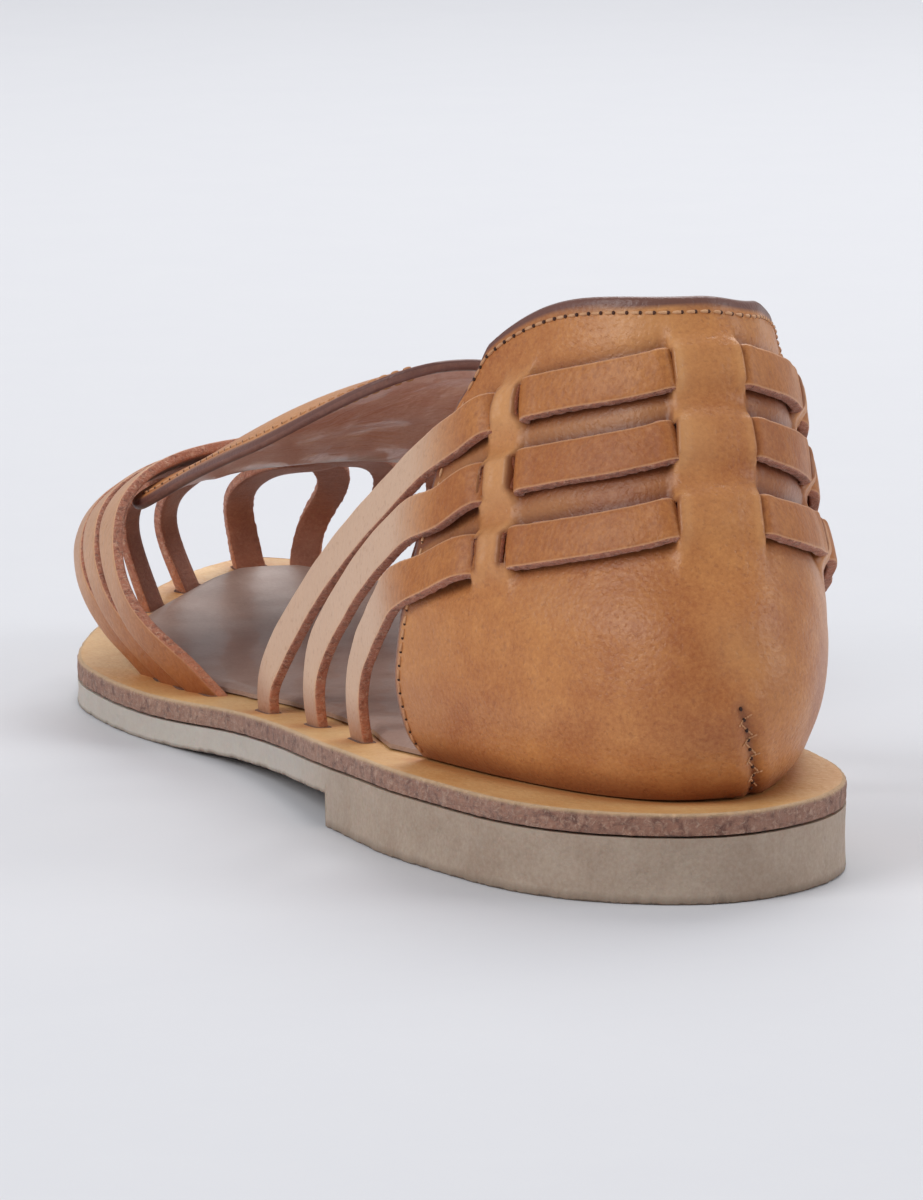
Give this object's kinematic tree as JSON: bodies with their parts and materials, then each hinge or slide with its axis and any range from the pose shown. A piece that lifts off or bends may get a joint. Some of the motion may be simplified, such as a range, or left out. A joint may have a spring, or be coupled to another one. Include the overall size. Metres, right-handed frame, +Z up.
{
  "type": "huarache sandal",
  "caption": "Left huarache sandal in tan leather: closed heel counter with woven-through heel straps, open waist, and crossing straps over the instep and toe on a low flat sole",
  "frame": {"origin": "middle of the footprint on the floor", "axes": "+X to the inner (medial) side, +Y from heel to toe, +Z up"},
  "size_m": [0.0888, 0.2546, 0.0862],
  "materials": {
    "crepe_rubber": "matte, slightly translucent crepe with a sawn edge",
    "sole_leather": "smooth vegetable-tanned top, raw brown edge",
    "insole_leather": "dark glossy lining leather",
    "upper_leather": "burnished tan, soft sheen",
    "strap_leather": "tan with raw mauve-brown cut edges"
  },
  "bodies": {
    "root": {"outsole": "crepe_rubber", "midsole": "sole_leather", "insole": "insole_leather", "heel_counter": "upper_leather", "heel_strap_top": "strap_leather", "heel_strap_middle": "strap_leather", "heel_strap_bottom": "strap_leather", "vamp_apron": "upper_leather", "vamp_straps": "strap_leather"}
  },
  "joints": []
}
